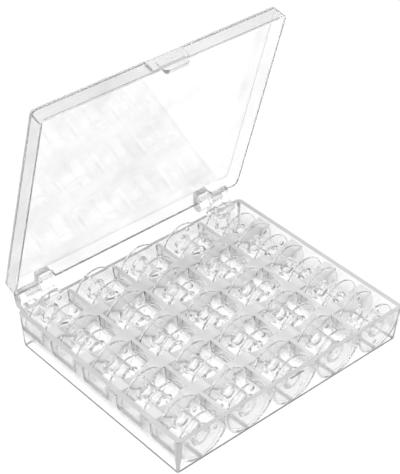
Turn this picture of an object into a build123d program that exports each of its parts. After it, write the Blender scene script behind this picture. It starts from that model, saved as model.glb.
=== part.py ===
from build123d import *
from math import radians, tan
import os

# Bobbin storage box: a clear tray with pockets, a lid on two hinges and a bobbin in each pocket.
# X runs along the hinges, -Y is the latch side, +Z is up. The lid stands open at rest.
# The pieces are drawn about the middle of the tray. At the end they move along Y, so that
# the origin is the middle of the open box's footprint, on the plane that it stands on.

# Bobbin
bobbin_diameter = 20.3
bobbin_length = 11.5
flange_thickness = 0.9
flange_edge = 0.25
hub_bore = 6.0
hub_wall = 0.9
collar_rise = 0.8
collar_length = 1.3
thread_hole = 2.2
thread_hole_inset = 2.95
thread_holes = 2
key_slot_width = 1.2
key_slot_depth = 0.7
key_slot_length = 2.2
key_slots = 3
turn_step_column = 67
turn_step_row = 101

# Pocket grid
columns = 5
rows = 5
pocket_side_clearance = 0.85
pocket_end_clearance = 0.36
seat_gap = 0.25
column_ridge = 1.8
row_gap = 6.0
pocket_wall = 1.0
pocket_end_draft = 3.6
pocket_straight = 4.7
foot_gap = 0.5

# Tray
side_wall = 2.4
end_wall = 1.75
skirt_wall = 1.3
wall_draft = 5.0
foot_corner = 1.0
rim_edge = 0.3
rim_step = 0.8
deck_thickness = 1.2
scoop_radius = 8.0
scoop_depth = 3.0

# Lid
lid_open_angle = 76.0
lid_gap = 0.25
lid_headroom = 0.95
lid_plate = 1.4
lid_wall = 1.4
lid_draft = 3.0
lid_edge = 0.8

# Hinges
hinge_back = 4.65
hinge_rise = 2.2
knuckle_radius = 2.7
pin_radius = 1.2
pin_clearance = 0.05
pin_length = 7.0
pin_end_gap = 0.3
hinge_inset = 4.0
bracket_width = 10.2
hinge_side_gap = 0.3
lug_width = 6.5
lug_drop = 0.85
notch_height = 2.7
upstand_gap = 0.6
upstand_wall = 1.1
upstand_corner = 1.0
ledge_thickness = 3.0
ledge_drop = 0.25
post_radius = 2.9

# Latch
boss_width = 18.4
boss_drop = 1.75
boss_depth = 1.3
tab_width = 12.0
tab_root = 2.1
tab_reach = 4.2
tab_thickness = 1.3
tab_corner = 1.5
tab_lip = 0.9
tab_lip_height = 2.1
catch_gap = 0.3
catch_width = 7.4
catch_height = 1.6
catch_depth = 0.45
catch_drop = 0.9

# Sizes that follow
hub_radius = hub_bore / 2 + hub_wall
collar_radius = hub_radius + collar_rise
pocket_radius = bobbin_diameter / 2 + pocket_side_clearance
pocket_width = 2 * pocket_radius
pocket_floor = foot_gap + pocket_wall
pocket_axis = pocket_floor + pocket_radius
base_height = pocket_axis + pocket_straight
pocket_lean = tan(radians(pocket_end_draft))
floor_length = bobbin_length + 2 * pocket_end_clearance
pocket_length = floor_length + 2 * pocket_lean * (base_height - pocket_floor)
column_pitch = pocket_width + column_ridge
row_pitch = pocket_length + row_gap
inner_width = columns * pocket_width + (columns - 1) * column_ridge
inner_depth = rows * pocket_length + (rows - 1) * row_gap
box_width = inner_width + 2 * side_wall
box_depth = inner_depth + 2 * end_wall
skirt_lean = tan(radians(wall_draft)) * base_height
corner_radius = foot_corner + skirt_lean
trim_corner = skirt_lean + max(foot_corner - skirt_wall / 2, rim_edge)
bobbin_axis = pocket_floor + seat_gap + bobbin_diameter / 2
deck_top = base_height - rim_step
lid_rim = base_height + lid_gap
lid_top = bobbin_axis + bobbin_diameter / 2 + lid_headroom + lid_plate
lid_height = lid_top - lid_rim
lid_corner = max(corner_radius - lid_wall, rim_edge)
front = -box_depth / 2
back = box_depth / 2
hinge_y = back + hinge_back
hinge_z = base_height + hinge_rise
hinge_axis = Axis((0, hinge_y, hinge_z), (1, 0, 0))
bracket_outer = box_width / 2 - hinge_inset
bracket_inner = bracket_outer - bracket_width
lug_outer = bracket_inner - hinge_side_gap
lug_inner = lug_outer - lug_width
lug_middle = (lug_inner + lug_outer) / 2
notch_top = lid_rim + notch_height

# Tray: drafted skirt, open underneath
with BuildPart() as base:
    with BuildSketch(Plane.XY.offset(base_height)):
        RectangleRounded(box_width, box_depth, corner_radius)
    extrude(amount=-base_height, taper=wall_draft)
    fillet(base.edges().group_by(Axis.Z)[-1], rim_edge)
    fillet(base.edges().group_by(Axis.Z)[0], rim_edge)
    with BuildSketch(Plane.XY.offset(base_height)):
        Rectangle(box_width - 2 * skirt_wall, box_depth - 2 * skirt_wall)
    extrude(amount=-base_height, taper=wall_draft, mode=Mode.SUBTRACT)

# The space up to the middle of the skirt's wall, which trims what is moulded inside it
with BuildPart() as inside:
    with BuildSketch(Plane.XY.offset(base_height)):
        RectangleRounded(box_width - skirt_wall, box_depth - skirt_wall, trim_corner)
    extrude(amount=-base_height, taper=wall_draft)


def pocket(radius, rim_length, top):
    """A half-round trough along Y, closed by two drafted ends, on the middle of the grid."""
    with BuildPart() as trough:
        with BuildSketch(Plane.XZ):
            with Locations((0, pocket_axis)):
                Circle(radius)
                Rectangle(2 * radius, top - pocket_axis, align=(Align.CENTER, Align.MIN))
            with Locations((0, top)):
                Rectangle(2 * radius, top, align=(Align.CENTER, Align.MAX), mode=Mode.INTERSECT)
        extrude(amount=rim_length, both=True)
        rim_half = rim_length / 2
        foot_half = rim_half - pocket_lean * base_height
        with BuildSketch(Plane.YZ):
            with BuildLine():
                Polyline(
                    (-rim_half, base_height),
                    (-foot_half, 0),
                    (foot_half, 0),
                    (rim_half, base_height),
                    close=True,
                )
            make_face()
        extrude(amount=2 * radius, both=True, mode=Mode.INTERSECT)
    return trough.part


def scoop(radius, length, top):
    """The round dip in the deck between two rows, a trough along Y."""
    with BuildPart() as dip:
        with BuildSketch(Plane.XZ):
            with Locations((0, deck_top + scoop_radius - scoop_depth)):
                Circle(radius)
            with Locations((0, top)):
                Rectangle(2 * radius, 2 * radius, align=(Align.CENTER, Align.MAX), mode=Mode.INTERSECT)
        extrude(amount=length / 2, both=True)
    return dip.part


pocket_shell = pocket(pocket_radius + pocket_wall, pocket_length + 2 * pocket_wall, deck_top)
pocket_space = pocket(pocket_radius, pocket_length, base_height)
scoop_shell = scoop(scoop_radius + deck_thickness, row_gap, deck_top)
scoop_space = scoop(scoop_radius, row_gap + pocket_wall, base_height)

# Deck with its pockets and scoops, and the thick rim around it
with BuildPart() as grid:
    with BuildSketch(Plane.XY.offset(deck_top)):
        Rectangle(box_width, box_depth)
    extrude(amount=-deck_thickness)
    with BuildSketch(Plane.XY.offset(deck_top - deck_thickness)):
        Rectangle(box_width, box_depth)
        Rectangle(inner_width, inner_depth, mode=Mode.SUBTRACT)
    extrude(amount=deck_thickness + rim_step)
    with GridLocations(column_pitch, row_pitch, columns, rows):
        add(pocket_shell)
    with GridLocations(column_pitch, row_pitch, columns, rows - 1):
        add(scoop_shell)
    add(inside.part, mode=Mode.INTERSECT)
    with GridLocations(column_pitch, row_pitch, columns, rows):
        add(pocket_space, mode=Mode.SUBTRACT)
    with GridLocations(column_pitch, row_pitch, columns, rows - 1):
        add(scoop_space, mode=Mode.SUBTRACT)

with BuildPart() as bracket:
    # Barrel that takes the lid's pin, on a ledge and a round post behind the back wall
    ledge_middle = base_height - ledge_drop - ledge_thickness / 2
    with BuildSketch(Plane.YZ.offset(bracket_inner)):
        with Locations((hinge_y, hinge_z)):
            Circle(knuckle_radius)
        with Locations((hinge_y, ledge_middle)):
            Circle(ledge_thickness / 2)
        make_hull()
        with Locations((hinge_y, ledge_middle)):
            Rectangle(hinge_back + end_wall / 2, ledge_thickness, align=(Align.MAX, Align.CENTER))
    extrude(amount=bracket_width)
    with BuildSketch(Plane.XZ.offset(-hinge_y)):
        with Locations((bracket_inner + bracket_width / 2, base_height - ledge_drop - post_radius)):
            Circle(post_radius)
    extrude(amount=hinge_back + end_wall / 2)
    with BuildSketch(Plane.YZ.offset(bracket_inner)):
        with Locations((hinge_y, hinge_z)):
            Circle(pin_radius + pin_clearance)
    extrude(amount=pin_length - hinge_side_gap + pin_end_gap, mode=Mode.SUBTRACT)

with BuildPart() as upstand:
    # Raised lip on the back rim, in front of the lid's lug
    with BuildSketch(Plane.XZ.offset(upstand_gap - back)):
        with Locations((lug_middle, deck_top)):
            Rectangle(
                lug_width - 2 * upstand_gap,
                notch_top - upstand_gap - deck_top,
                align=(Align.CENTER, Align.MIN),
            )
    extrude(amount=upstand_wall)
    fillet(upstand.edges().filter_by(Axis.Y).group_by(Axis.Z)[-1], upstand_corner)

with BuildPart() as catch:
    # Small ridge that the lid's tab passes over, under the front rim
    catch_top = base_height - catch_drop
    with BuildSketch(Plane.YZ.offset(-catch_width / 2)):
        with BuildLine():
            Polyline(
                (front + skirt_wall / 2, catch_top),
                (front - catch_depth, catch_top - catch_height / 2),
                (front + skirt_wall / 2, catch_top - catch_height),
                close=True,
            )
        make_face()
    extrude(amount=catch_width)

with BuildPart() as moulded_tray:
    add(base.part)
    add(grid.part)
    add(bracket.part)
    add(mirror(bracket.part, about=Plane.YZ))
    add(upstand.part)
    add(mirror(upstand.part, about=Plane.YZ))
    add(catch.part)

# Lid, drawn shut
with BuildPart() as cover:
    with BuildSketch(Plane.XY.offset(lid_rim)):
        RectangleRounded(box_width, box_depth, corner_radius)
    extrude(amount=lid_height, taper=lid_draft)
    fillet(cover.edges().group_by(Axis.Z)[-1], lid_edge)
    with BuildSketch(Plane.XY.offset(lid_rim)):
        RectangleRounded(box_width - 2 * lid_wall, box_depth - 2 * lid_wall, lid_corner)
    extrude(amount=lid_height - lid_plate, taper=lid_draft, mode=Mode.SUBTRACT)
    # Notches in the back wall that clear the tray's upstands
    with BuildSketch(Plane.XY.offset(lid_rim)):
        with Locations((lug_middle, back), (-lug_middle, back)):
            Rectangle(lug_width, 4 * lid_wall)
    extrude(amount=notch_height, mode=Mode.SUBTRACT)

with BuildPart() as lug:
    # Arm and knuckle behind the lid's back wall, with the pin that turns in the tray's barrel
    with BuildSketch(Plane.YZ.offset(lug_inner)):
        with Locations((hinge_y, hinge_z)):
            Circle(knuckle_radius)
        with Locations((back - lid_wall / 2, notch_top)):
            Rectangle(lid_wall / 2, lid_top - lug_drop - notch_top, align=(Align.MIN, Align.MIN))
        make_hull()
    extrude(amount=lug_width)
    with BuildSketch(Plane.YZ.offset(lug_outer)):
        with Locations((hinge_y, hinge_z)):
            Circle(pin_radius)
    extrude(amount=pin_length)

with BuildPart() as latch:
    # Boss on the lid's front wall with the tab that hangs past the rim
    with BuildSketch(Plane.XZ.offset(-front - lid_wall / 2)):
        with Locations((0, lid_rim)):
            Rectangle(boss_width, lid_height - boss_drop, align=(Align.CENTER, Align.MIN))
    extrude(amount=boss_depth + lid_wall / 2)
    fillet(latch.edges().group_by(Axis.Y)[0].filter_by(Axis.Z), rim_edge)
    tab_inner = front - catch_depth - catch_gap
    tab_outer = tab_inner - tab_thickness
    tab_end = base_height - tab_reach
    with BuildSketch(Plane.YZ.offset(-tab_width / 2)):
        with BuildLine():
            Polyline(
                (tab_inner, lid_rim + tab_root),
                (tab_inner, tab_end),
                (tab_outer - tab_lip, tab_end),
                (tab_outer, tab_end + tab_lip_height),
                (tab_outer, lid_rim + tab_root),
                close=True,
            )
        make_face()
    extrude(amount=tab_width)
    fillet(latch.edges().filter_by(Axis.Y).group_by(Axis.Z)[0], tab_corner)

with BuildPart() as shut_lid:
    add(cover.part)
    add(lug.part)
    add(mirror(lug.part, about=Plane.YZ))
    add(latch.part)


def bobbin(turn):
    """A bobbin along the Y axis, turned by an angle."""
    with BuildPart() as spool:
        half = bobbin_length / 2
        with BuildSketch(Plane.XY) as profile:
            with BuildLine():
                Polyline(
                    (hub_bore / 2, 0),
                    (hub_bore / 2, half),
                    (bobbin_diameter / 2, half),
                    (bobbin_diameter / 2, half - flange_thickness),
                    (collar_radius, half - flange_thickness),
                    (hub_radius, half - flange_thickness - collar_length),
                    (hub_radius, 0),
                    close=True,
                )
            make_face()
            fillet(profile.vertices().group_by(Axis.X)[-1], flange_edge)
            mirror(about=Plane.XZ)
        revolve(axis=Axis.Y)
        with BuildSketch(Plane.XZ.offset(-half)):
            with PolarLocations(bobbin_diameter / 2 - thread_hole_inset, thread_holes, start_angle=turn):
                Circle(thread_hole / 2)
        extrude(amount=bobbin_length, mode=Mode.SUBTRACT)
        # Key slots at both ends of the bore
        for end in (half, key_slot_length - half):
            with BuildSketch(Plane.XZ.offset(-end)):
                with PolarLocations(hub_bore / 2, key_slots, start_angle=turn):
                    Rectangle(2 * key_slot_depth, key_slot_width)
            extrude(amount=key_slot_length, mode=Mode.SUBTRACT)
    return spool.part


# The lid swings open about its hinges, and the footprint reaches from the catch to the lid's back
with BuildPart() as open_lid:
    add(shut_lid.part.rotate(hinge_axis, -lid_open_angle))

footprint_front = moulded_tray.part.bounding_box().min.Y
footprint_back = open_lid.part.bounding_box().max.Y
footprint_middle = (footprint_front + footprint_back) / 2

with BuildPart() as tray:
    with Locations((0, -footprint_middle, 0)):
        add(moulded_tray.part)

with BuildPart() as lid:
    with Locations((0, -footprint_middle, 0)):
        add(open_lid.part)

print("hinge axis", 0, hinge_y - footprint_middle, hinge_z)
print("footprint middle", footprint_middle)

os.makedirs("parts", exist_ok=True)
tray.part.label = "tray"
export_step(tray.part, "parts/tray.step")
lid.part.label = "lid"
export_step(lid.part, "parts/lid.step")

# Each bobbin sits in its own pocket, turned by its own angle
for row in range(rows):
    for column in range(columns):
        turn = column * turn_step_column + row * turn_step_row
        across = (column - (columns - 1) / 2) * column_pitch
        along = (row - (rows - 1) / 2) * row_pitch - footprint_middle
        with BuildPart() as seated:
            with Locations((across, along, bobbin_axis)):
                add(bobbin(turn))
        seated.part.label = f"bobbin_row{row + 1}_column{column + 1}"
        export_step(seated.part, f"parts/{seated.part.label}.step")
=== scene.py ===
import math

import bpy
from mathutils import Matrix, Vector

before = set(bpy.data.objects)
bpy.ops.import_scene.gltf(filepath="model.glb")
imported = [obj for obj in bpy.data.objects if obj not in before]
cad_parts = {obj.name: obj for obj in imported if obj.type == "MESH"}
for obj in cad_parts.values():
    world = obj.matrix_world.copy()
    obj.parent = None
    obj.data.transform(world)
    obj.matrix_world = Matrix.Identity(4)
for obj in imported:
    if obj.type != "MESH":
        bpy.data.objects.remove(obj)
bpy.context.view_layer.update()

# Camera: the photograph's viewing angle, for an image of 400 x 474 pixels
view_azimuth = math.radians(-42.785)
view_elevation = math.radians(37.148)
view_roll = math.radians(1.680)
view_distance = 0.68620
view_target = Vector((0.04377, 0.05165, 0.0))
view_back = Vector((
    math.sin(view_azimuth) * math.cos(view_elevation),
    -math.cos(view_azimuth) * math.cos(view_elevation),
    math.sin(view_elevation),
))
focal_pixels = 1534.78
image_height = 474
sensor_height = 24.0

# Studio. The room's greys go by height, from 0 at the horizon to 1 overhead
floor_size = 6.0
floor_drop = 0.00005
floor_grey = 0.12
floor_glow = 0.93
floor_glow_through_glass = 1.15
room_glow = 0.8
room_greys = ((0.12, 1.0), (0.3, 0.85), (0.65, 0.85), (0.85, 1.1))
dark_side_grey = 0.35
dark_side_narrow = math.radians(20)
dark_side_wide = math.radians(32)
key_place = Vector((-0.5, -0.2, 0.9))
key_size = 0.8
key_power = 3.0
most_bounces = 80

# Plastic. A spread is how far the ripples move a value away from its mean, as a share of it
refraction = 1.59
ripple_detail = 2.0
roughness_spread = 0.5
haze_spread = 0.3

# Sizes of the tray, in metres. From here on, a fade is a pair: where it starts and where it is full.
# A span is a pair too: its low end and its high end
pocket_radius = 0.011
pocket_wall = 0.001
column_pitch = 0.0238
ridge_half = 0.0009

# Heights on the tray
pocket_axis = 0.0125
deck_top = 0.0164
rim_top = 0.0172
skirt_top = 0.0167
under_dips = 0.0125
pocket_bottom = 0.0003
shell_top = 0.0149

# Distances from the tray's middle, to the right or the left
ridges_end = 0.0479
crossing_end_fade = (0.0560, 0.0550)
corner_fade = (0.0575, 0.0580)
side_window_span = (0.0555, 0.0598)
skirt_side = 0.0581
skirt_inside = 0.0589
last_pocket_end = 0.0599

# Places along Y on the tray
inner_front = -0.0516
inner_back = 0.0439
rows_middle = (inner_front + inner_back) / 2
window_margin = 0.0005
barrel_front = 0.0457

# The hinge, and the lid. Heights on the lid are those of the shut lid
hinge_y = 0.0500495
hinge_z = 0.0194
lug_span = (0.0399, 0.0540)
plate_inside = 0.023
lid_lean = math.radians(76)
lid_up = (0.0, math.sin(lid_lean), math.cos(lid_lean))
lid_level = hinge_z - hinge_y * lid_up[1] - hinge_z * lid_up[2]
lid_middle_z = 0.0719

# Edges of the frosted places and of the painted shade, in metres
edge_blur = 0.0001
outline_blur = 0.0002
deck_wall_fade = (0.0080, 0.0140)
ridge_wall_fade = (0.0105, 0.0120)
crossing_fade = (column_pitch / 2 - 0.0040, column_pitch / 2 - 0.0015)
side_wall_fade = (0.0050, 0.0060)
pocket_side_fade = (0.0010, 0.0030)
barrel_fade = (0.0090, 0.0100)
foot_fade = (0.0006, 0.0005)
lug_fade = (0.0072, 0.0066)
lid_outside_fade = (0.015, 0.025)

# How a face is turned: the cosine of its angle to up, to X or to Y. In a corner it is the product of
# the last two
looks_up_fade = (0.4, 0.6)
above_underside_fade = (-0.98, -0.95)
looks_aside_fade = (0.90, 0.95)
looks_along_fade = (0.93, 0.97)
rounds_corner_fade = (0.05, 0.15)
plate_edge_span = (-0.2, 0.93)
lean_blur = 0.05


def grey_colour(level):
    return (level, level, level, 1.0)


def calculate(tree, operation, *values):
    """One step of node maths, on sockets and numbers."""
    node = tree.nodes.new("ShaderNodeMath")
    node.operation = operation
    for socket, value in zip(node.inputs, values):
        if isinstance(value, (int, float)):
            socket.default_value = value
        else:
            tree.links.new(value, socket)
    return node.outputs["Value"]


def make_camera():
    """A camera that looks at the target from the photograph's side, rolled a little."""
    level_right = Vector((math.cos(view_azimuth), math.sin(view_azimuth), 0.0))
    level_up = view_back.cross(level_right)
    right = math.cos(view_roll) * level_right + math.sin(view_roll) * level_up
    up = math.cos(view_roll) * level_up - math.sin(view_roll) * level_right
    data = bpy.data.cameras.new("camera")
    data.sensor_fit = "VERTICAL"
    data.sensor_height = sensor_height
    data.lens = focal_pixels * sensor_height / image_height
    camera = bpy.data.objects.new("camera", data)
    bpy.context.scene.collection.objects.link(camera)
    turn = Matrix((right, up, view_back)).transposed().to_4x4()
    camera.matrix_world = Matrix.Translation(view_target + view_distance * view_back) @ turn
    bpy.context.scene.camera = camera


class Field:
    """Numbers that vary over a surface, worked out by a material's nodes.

    The height goes along up, from the level. The lean is 1 where a face looks up and -1 where it looks
    down. Outward is the distance from the box's middle, to the right or the left.
    """

    def __init__(self, tree, up, level):
        self.tree = tree
        place = tree.nodes.new("ShaderNodeTexCoord")
        self.place = place.outputs["Object"]
        point = self.split(self.place)
        self.x, self.y, self.z = point["X"], point["Y"], point["Z"]
        facing = self.split(place.outputs["Normal"])
        self.facing_x, self.facing_y, self.facing_z = facing["X"], facing["Y"], facing["Z"]
        self.height = self.math("ADD", self.dot(self.place, up), level)
        self.lean = self.dot(place.outputs["Normal"], up)
        self.outward = self.math("ABSOLUTE", self.x)
        self.from_rows_middle = self.math("ABSOLUTE", self.math("SUBTRACT", self.y, rows_middle))
        # Across a pocket from its column's middle, and out from the axis of its round floor
        self.across = self.math("ABSOLUTE", self.math("WRAP", self.x, column_pitch / 2, -column_pitch / 2))
        down = self.math("MINIMUM", self.math("SUBTRACT", self.height, pocket_axis), 0.0)
        self.radius = self.length(self.across, down)

    def math(self, operation, *values):
        return calculate(self.tree, operation, *values)

    def times(self, *values):
        result = values[0]
        for value in values[1:]:
            result = self.math("MULTIPLY", result, value)
        return result

    def length(self, first, second):
        squares = self.math("ADD", self.times(first, first), self.times(second, second))
        return self.math("SQRT", squares)

    def dot(self, vector, direction):
        node = self.tree.nodes.new("ShaderNodeVectorMath")
        node.operation = "DOT_PRODUCT"
        self.tree.links.new(vector, node.inputs[0])
        node.inputs[1].default_value = direction
        return node.outputs["Value"]

    def split(self, vector):
        node = self.tree.nodes.new("ShaderNodeSeparateXYZ")
        self.tree.links.new(vector, node.inputs["Vector"])
        return node.outputs

    def blend(self, value, low, high):
        """Low where the value is 0 and high where it is 1."""
        node = self.tree.nodes.new("ShaderNodeMapRange")
        self.tree.links.new(value, node.inputs["Value"])
        for name, end in (("To Min", low), ("To Max", high)):
            if isinstance(end, float):
                node.inputs[name].default_value = end
            else:
                self.tree.links.new(end, node.inputs[name])
        return node.outputs["Result"]

    def past(self, value, start, full):
        """0 where the value hasn't reached start, and 1 where it is past full."""
        node = self.tree.nodes.new("ShaderNodeMapRange")
        self.tree.links.new(value, node.inputs["Value"])
        node.inputs["From Min"].default_value = start
        node.inputs["From Max"].default_value = full
        return node.outputs["Result"]

    def above(self, value, limit, blur=edge_blur):
        return self.past(value, limit - blur, limit + blur)

    def below(self, value, limit, blur=edge_blur):
        return self.past(value, limit + blur, limit - blur)

    def between(self, value, low, high, blur=edge_blur):
        return self.times(self.above(value, low, blur), self.below(value, high, blur))

    def noise(self, scale, detail):
        node = self.tree.nodes.new("ShaderNodeTexNoise")
        node.inputs["Scale"].default_value = scale
        node.inputs["Detail"].default_value = detail
        self.tree.links.new(self.place, node.inputs["Vector"])
        return node.outputs["Fac"]


def deck_walls(field):
    """The upper part of the walls between the pockets."""
    return field.times(
        field.past(field.height, *deck_wall_fade),
        field.below(field.height, deck_top + 2 * edge_blur),
        field.between(field.x, -skirt_inside, skirt_inside),
        field.between(field.y, inner_front, inner_back),
    )


def ridge_walls(field):
    """The sides of the narrow ridges between the columns."""
    ridge_side = column_pitch / 2 - ridge_half
    return field.times(
        field.past(field.height, *ridge_wall_fade),
        field.below(field.height, deck_top + 2 * edge_blur),
        field.past(field.across, ridge_side - 2 * edge_blur, ridge_side - edge_blur),
        field.below(field.outward, ridges_end),
    )


def deck_tops(field):
    """The deck, the ridges, the dips and the rim, where they look up."""
    return field.times(
        field.above(field.height, under_dips),
        field.below(field.height, rim_top + 1.5 * edge_blur),
        field.past(field.lean, *looks_up_fade),
    )


def painted_crossing_shade(field):
    """The flat of the deck where a ridge meets the gap between two rows, painted a darker grey there as
    shade.
    """
    return field.times(
        deck_tops(field),
        field.past(field.across, *crossing_fade),
        field.past(field.outward, *crossing_end_fade),
    )


def rim_tops(field):
    """The flat top of the thick rim."""
    return field.times(
        field.above(field.height, deck_top + 3 * edge_blur),
        field.past(field.lean, *looks_up_fade),
    )


def side_walls(field):
    """The skirt's left and right walls, above the pockets' undersides."""
    return field.times(
        field.above(field.outward, skirt_side),
        field.past(field.height, *side_wall_fade),
        field.below(field.height, skirt_top),
        field.past(field.math("ABSOLUTE", field.facing_x), *looks_aside_fade),
    )


def end_walls(field):
    """The skirt's front and back walls, where they close the pockets."""
    return field.times(
        field.below(field.radius, pocket_radius),
        field.above(field.from_rows_middle, inner_back - rows_middle),
        field.below(field.height, skirt_top),
    )


def painted_pocket_outlines(field):
    """The outlines of the pockets on the front and the back wall, where their shells meet it: a grey ring
    painted on the wall's outer face as painted shade, for the dark edge that each shell shows through the
    clear wall.
    """
    return field.times(
        field.between(field.radius, pocket_radius, pocket_radius + pocket_wall, outline_blur),
        field.above(field.from_rows_middle, inner_back - rows_middle),
        field.between(field.height, pocket_bottom, skirt_top),
        field.below(field.outward, last_pocket_end),
    )


def pocket_sides(field):
    """The pockets' shells and ends beside the left and the right wall."""
    outside = pocket_radius + pocket_wall
    shell = field.between(field.radius, outside - outline_blur, outside + outline_blur)
    end = field.past(field.math("ABSOLUTE", field.facing_y), *looks_along_fade)
    return field.times(
        field.math("MAXIMUM", shell, end),
        field.past(field.height, *pocket_side_fade),
        field.below(field.height, shell_top),
        field.between(field.outward, *side_window_span),
        field.between(field.y, inner_front - window_margin, inner_back + window_margin),
    )


def rounded_corners(field):
    """The skirt's rounded upright edges."""
    turned = field.math("ABSOLUTE", field.times(field.facing_x, field.facing_y))
    return field.times(
        field.past(turned, *rounds_corner_fade),
        field.past(field.outward, *corner_fade),
        field.below(field.height, skirt_top),
    )


def painted_foot_shadow(field):
    """The lowest edge of the skirt, outside, painted near black as a shadow line where it stands on the
    floor.
    """
    return field.times(field.past(field.height, *foot_fade), field.past(field.lean, *above_underside_fade))


def hinge_barrels(field):
    """The tray's barrels with their ledges and posts, behind the back wall."""
    return field.times(field.above(field.y, barrel_front), field.past(field.height, *barrel_fade))


def hinge_lugs(field):
    """The lid's arms with their knuckles and pins."""
    behind = field.math("SUBTRACT", field.y, hinge_y)
    over = field.math("SUBTRACT", field.z, hinge_z)
    return field.times(
        field.past(field.length(behind, over), *lug_fade),
        field.between(field.outward, *lug_span),
    )


def lid_walls(field):
    """The lid's walls, as light enters them from outside."""
    # Together these are above 0 where a face looks away from the lid's middle
    aside = field.times(field.facing_x, field.x)
    ahead = field.times(field.facing_z, field.math("SUBTRACT", field.z, lid_middle_z))
    return field.times(
        field.below(field.height, plate_inside - 2 * edge_blur),
        field.past(field.math("ADD", aside, ahead), *lid_outside_fade),
    )


def lid_edges(field):
    """The outside of the lid's plate, all round its edge."""
    return field.times(
        field.above(field.height, plate_inside + edge_blur),
        field.between(field.lean, *plate_edge_span, lean_blur),
    )


def new_material(name):
    """A material with nodes, and its node tree emptied but for the output."""
    material = bpy.data.materials.new(name)
    material.use_nodes = True
    tree = material.node_tree
    tree.nodes.clear()
    output = tree.nodes.new("ShaderNodeOutputMaterial")
    return material, tree, output


def clear_plastic(name, tint, haze, mean_roughness, ripple_scale, ripple_height,
                  up=(0.0, 0.0, 1.0), level=0.0, frosts_and_painted_shade=()):
    """Clear moulded plastic with faint flow ripples, an uneven gloss and a little haze.

    The tint is the darkest grey in the ripples. A point's height is its distance along up, plus level.
    A frost is (place, grey, roughness, haze). Some only roughen or haze the surface, and in others the grey
    is painted shade. The later ones lie over the earlier ones.
    """
    material, tree, output = new_material(name)
    shader = tree.nodes.new("ShaderNodeBsdfPrincipled")
    shader.inputs["IOR"].default_value = refraction
    field = Field(tree, up, level)
    ripple = field.noise(ripple_scale, ripple_detail)
    bump = tree.nodes.new("ShaderNodeBump")
    bump.inputs["Strength"].default_value = 1.0
    bump.inputs["Distance"].default_value = ripple_height
    tree.links.new(ripple, bump.inputs["Height"])
    tree.links.new(bump.outputs["Normal"], shader.inputs["Normal"])
    grey = field.blend(ripple, tint, 1.0)
    smoothest = mean_roughness * (1 - roughness_spread)
    roughest = mean_roughness * (1 + roughness_spread)
    roughness = field.blend(ripple, smoothest, roughest)
    clearness = field.blend(ripple, 1 - haze * (1 + haze_spread), 1 - haze * (1 - haze_spread))
    for place, frost_and_shade_grey, frost_roughness, frost_haze in frosts_and_painted_shade:
        inside = place(field)
        grey = field.blend(inside, grey, frost_and_shade_grey)
        roughness = field.blend(inside, roughness, frost_roughness)
        clearness = field.blend(inside, clearness, 1.0 - frost_haze)
    tree.links.new(grey, shader.inputs["Base Color"])
    tree.links.new(roughness, shader.inputs["Roughness"])
    tree.links.new(clearness, shader.inputs["Transmission Weight"])
    tree.links.new(shader.outputs["BSDF"], output.inputs["Surface"])
    return material


def seen_ray(tree):
    """1 for the rays that show a background: camera, glossy and transmission rays."""
    ray = tree.nodes.new("ShaderNodeLightPath").outputs
    seen_or_mirrored = calculate(tree, "MAXIMUM", ray["Is Camera Ray"], ray["Is Glossy Ray"])
    return calculate(tree, "MAXIMUM", seen_or_mirrored, ray["Is Transmission Ray"])


def make_floor():
    """A plain white floor, which stays white to the eye and keeps a soft shadow."""
    half = floor_size / 2
    mesh = bpy.data.meshes.new("floor")
    outline = ((-half, -half), (half, -half), (half, half), (-half, half))
    mesh.from_pydata([(x, y, -floor_drop) for x, y in outline], [], [(0, 1, 2, 3)])
    floor = bpy.data.objects.new("floor", mesh)
    bpy.context.scene.collection.objects.link(floor)
    material, tree, output = new_material("floor_white")
    matt = tree.nodes.new("ShaderNodeBsdfDiffuse")
    matt.inputs["Color"].default_value = grey_colour(floor_grey)
    glow = tree.nodes.new("ShaderNodeEmission")
    eye = tree.nodes.new("ShaderNodeLightPath").outputs["Is Camera Ray"]
    glow_level = tree.nodes.new("ShaderNodeMapRange")
    glow_level.inputs["To Min"].default_value = floor_glow_through_glass
    glow_level.inputs["To Max"].default_value = floor_glow
    tree.links.new(eye, glow_level.inputs["Value"])
    strength = calculate(tree, "MULTIPLY", seen_ray(tree), glow_level.outputs["Result"])
    tree.links.new(strength, glow.inputs["Strength"])
    both = tree.nodes.new("ShaderNodeAddShader")
    tree.links.new(matt.outputs["BSDF"], both.inputs[0])
    tree.links.new(glow.outputs["Emission"], both.inputs[1])
    tree.links.new(both.outputs["Shader"], output.inputs["Surface"])
    mesh.materials.append(material)


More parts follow.
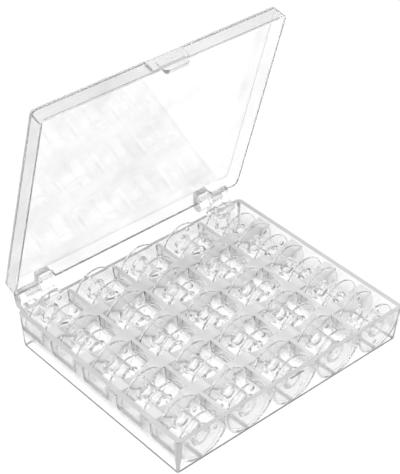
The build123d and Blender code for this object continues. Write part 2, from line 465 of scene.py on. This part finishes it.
def make_world():
    """Soft light all round. The eye sees white behind, and the plastic mirrors a room with a dark side."""
    world = bpy.data.worlds.new("studio")
    bpy.context.scene.world = world
    world.use_nodes = True
    tree = world.node_tree
    tree.nodes.clear()
    nodes, links = tree.nodes, tree.links
    output = nodes.new("ShaderNodeOutputWorld")

    # The room, by height
    place = nodes.new("ShaderNodeTexCoord")
    split = nodes.new("ShaderNodeSeparateXYZ")
    links.new(place.outputs["Generated"], split.inputs["Vector"])
    ramp = nodes.new("ShaderNodeValToRGB")
    stops = ramp.color_ramp.elements
    for end in stops:
        end.color = grey_colour(1.0)
    for height, grey in room_greys:
        stops.new(height).color = grey_colour(grey)
    links.new(split.outputs["Z"], ramp.inputs["Fac"])

    # Its dark side, behind the camera
    toward = nodes.new("ShaderNodeVectorMath")
    toward.operation = "DOT_PRODUCT"
    links.new(place.outputs["Generated"], toward.inputs[0])
    toward.inputs[1].default_value = view_back
    dark = nodes.new("ShaderNodeMapRange")
    dark.inputs["From Min"].default_value = math.cos(dark_side_wide)
    dark.inputs["From Max"].default_value = math.cos(dark_side_narrow)
    links.new(toward.outputs["Value"], dark.inputs["Value"])
    shade = nodes.new("ShaderNodeMixRGB")
    links.new(dark.outputs["Result"], shade.inputs["Fac"])
    links.new(ramp.outputs["Color"], shade.inputs["Color1"])
    shade.inputs["Color2"].default_value = grey_colour(dark_side_grey)

    # What mirrored and refracted rays see, what lights the matt surfaces, and what the camera sees
    room = nodes.new("ShaderNodeBackground")
    links.new(shade.outputs["Color"], room.inputs["Color"])
    soft = nodes.new("ShaderNodeBackground")
    soft.inputs["Color"].default_value = grey_colour(1.0)
    soft.inputs["Strength"].default_value = room_glow
    mix = nodes.new("ShaderNodeMixShader")
    links.new(seen_ray(tree), mix.inputs["Fac"])
    links.new(soft.outputs["Background"], mix.inputs[1])
    links.new(room.outputs["Background"], mix.inputs[2])
    white = nodes.new("ShaderNodeBackground")
    white.inputs["Color"].default_value = grey_colour(1.0)
    path = nodes.new("ShaderNodeLightPath")
    eye = nodes.new("ShaderNodeMixShader")
    links.new(path.outputs["Is Camera Ray"], eye.inputs["Fac"])
    links.new(mix.outputs["Shader"], eye.inputs[1])
    links.new(white.outputs["Background"], eye.inputs[2])
    links.new(eye.outputs["Shader"], output.inputs["Surface"])


def make_key():
    """A square soft lamp, aimed at the middle of the box's footprint."""
    data = bpy.data.lights.new("key", "AREA")
    data.shape = "SQUARE"
    data.size = key_size
    data.energy = key_power
    lamp = bpy.data.objects.new("key", data)
    bpy.context.scene.collection.objects.link(lamp)
    lamp.location = key_place
    lamp.rotation_euler = (-key_place).to_track_quat("-Z", "Y").to_euler()


make_camera()
make_floor()
make_world()
make_key()

tray_plastic = clear_plastic(
    "tray_plastic", tint=0.99, haze=0.03, mean_roughness=0.05, ripple_scale=60.0, ripple_height=0.00002,
    frosts_and_painted_shade=(
        (deck_walls, 0.99, 0.12, 0.2),
        (ridge_walls, 1.0, 0.25, 0.0),
        (deck_tops, 0.98, 0.12, 0.87),
        # painted shade: a darker grey on the deck where the ridges cross the gaps between rows
        (painted_crossing_shade, 0.87, 0.12, 0.87),
        (rim_tops, 0.80, 0.12, 0.80),
        (end_walls, 0.84, 0.08, 0.1),
        # painted shade: grey rings on the outer faces of the front and back walls, for the pockets' shells
        # seen through them
        (painted_pocket_outlines, 0.74, 0.12, 0.3),
        (pocket_sides, 1.0, 0.25, 0.0),
        (side_walls, 0.95, 0.2, 0.08),
        (rounded_corners, 1.0, 0.3, 0.9),
        (hinge_barrels, 1.0, 0.25, 0.0),
        # painted shadow: a near-black line along the skirt's lowest edge, where it meets the floor
        (painted_foot_shadow, 0.02, 0.3, 0.3),
    ),
)
lid_plastic = clear_plastic(
    "lid_plastic", tint=0.74, haze=0.06, mean_roughness=0.02, ripple_scale=60.0, ripple_height=0.00002,
    up=lid_up, level=lid_level,
    frosts_and_painted_shade=(
        (lid_walls, 0.92, 0.08, 0.2),
        (lid_edges, 1.0, 0.3, 0.5),
        (hinge_lugs, 1.0, 0.25, 0.0),
    ),
)
bobbin_plastic = clear_plastic(
    "bobbin_plastic", tint=0.99, haze=0.01, mean_roughness=0.01, ripple_scale=200.0, ripple_height=0.000005,
)
for name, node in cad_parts.items():
    node.data.materials.clear()
    node.data.materials.append({"tray": tray_plastic, "lid": lid_plastic}.get(name, bobbin_plastic))

scene = bpy.context.scene
scene.view_settings.view_transform = "Standard"
scene.cycles.max_bounces = most_bounces
scene.cycles.transmission_bounces = most_bounces
scene.cycles.glossy_bounces = most_bounces
